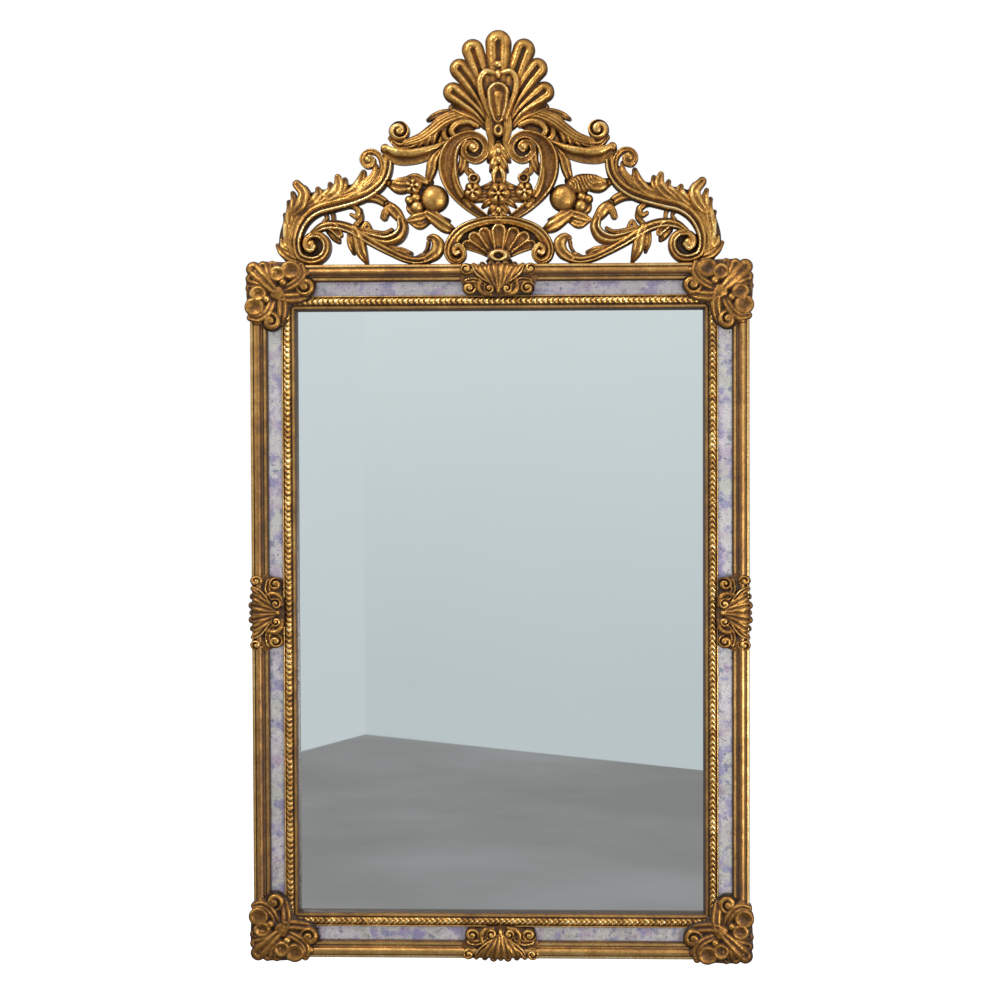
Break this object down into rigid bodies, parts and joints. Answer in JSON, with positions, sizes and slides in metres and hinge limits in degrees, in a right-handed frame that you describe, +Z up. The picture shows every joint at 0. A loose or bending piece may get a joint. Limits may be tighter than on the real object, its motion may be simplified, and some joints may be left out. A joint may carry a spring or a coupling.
{
  "type": "trumeau mirror",
  "caption": "Tall carved and gilded wall mirror with a mirrored border, corner ornaments and an openwork crest of scrolls under a palmette; hangs by loose rings.",
  "frame": {"origin": "on the wall plane, midway between the hangers, at the height of their ring hinges", "axes": "+X right as seen from the front, +Y into the wall (the front faces -Y), +Z up"},
  "size_m": [0.916, 0.067, 1.6849],
  "materials": {
    "gilded_moulding": "worn gold leaf over red-brown bole",
    "gilded_carving": "worn gold leaf over red-brown bole, dark in the hollows",
    "old_mirror": "mottled old silvering",
    "mirror_glass": "clear silvered glass",
    "bare_wood": "planed pine",
    "board": "hardboard",
    "cork": "cork",
    "felt": "felt",
    "brass_strap": "satin",
    "steel": "zinc plated"
  },
  "bodies": {
    "mirror": {"back_frame_bottom": "bare_wood", "back_frame_left": "bare_wood", "back_frame_right": "bare_wood", "back_frame_top": "bare_wood", "backboard": "board", "backboard_screws": "steel", "batten_screws": "steel", "cartouche_bottom": "gilded_carving", "cartouche_left": "gilded_carving", "cartouche_right": "gilded_carving", "cartouche_top": "gilded_carving", "corner_bottom_left": "gilded_carving", "corner_bottom_right": "gilded_carving", "corner_top_left": "gilded_carving", "corner_top_right": "gilded_carving", "crest_acanthus_left": "gilded_carving", "crest_acanthus_right": "gilded_carving", "crest_batten": "bare_wood", "crest_dowels": "steel", "crest_festoon": "gilded_carving", "crest_fruit_left": "gilded_carving", "crest_fruit_right": "gilded_carving", "crest_palmette": "gilded_carving", "crest_scroll_left": "gilded_carving", "crest_scroll_right": "gilded_carving", "crest_shell": "gilded_carving", "crest_vine_left": "gilded_carving", "crest_vine_right": "gilded_carving", "crest_wing_left": "gilded_carving", "crest_wing_right": "gilded_carving", "glazing_blocks": "cork", "hanger_screws": "steel", "hanger_strap_left": "brass_strap", "hanger_strap_right": "brass_strap", "inner_moulding_bottom": "gilded_moulding", "inner_moulding_left": "gilded_moulding", "inner_moulding_right": "gilded_moulding", "inner_moulding_top": "gilded_moulding", "leaf_band_bottom": "gilded_moulding", "leaf_band_left": "gilded_moulding", "leaf_band_right": "gilded_moulding", "leaf_band_top": "gilded_moulding", "mirror_plate": "mirror_glass", "outer_moulding_bottom": "gilded_moulding", "outer_moulding_left": "gilded_moulding", "outer_moulding_right": "gilded_moulding", "outer_moulding_top": "gilded_moulding", "strip_bottom_left": "old_mirror", "strip_bottom_right": "old_mirror", "strip_left_lower": "old_mirror", "strip_left_upper": "old_mirror", "strip_right_lower": "old_mirror", "strip_right_upper": "old_mirror", "strip_top_left": "old_mirror", "strip_top_right": "old_mirror", "wall_pads": "felt"},
    "ring_left": {"hanger_ring_left": "steel"},
    "ring_right": {"hanger_ring_right": "steel"}
  },
  "joints": [
    {"name": "ring_left_swing", "type": "hinge", "parent": "mirror", "child": "ring_left", "pos_m": [-0.42, -0.0048, 0], "axis": [1, 0, 0], "range_deg": [0, 180]},
    {"name": "ring_right_swing", "type": "hinge", "parent": "mirror", "child": "ring_right", "pos_m": [0.42, -0.0048, 0], "axis": [1, 0, 0], "range_deg": [0, 180]}
  ]
}
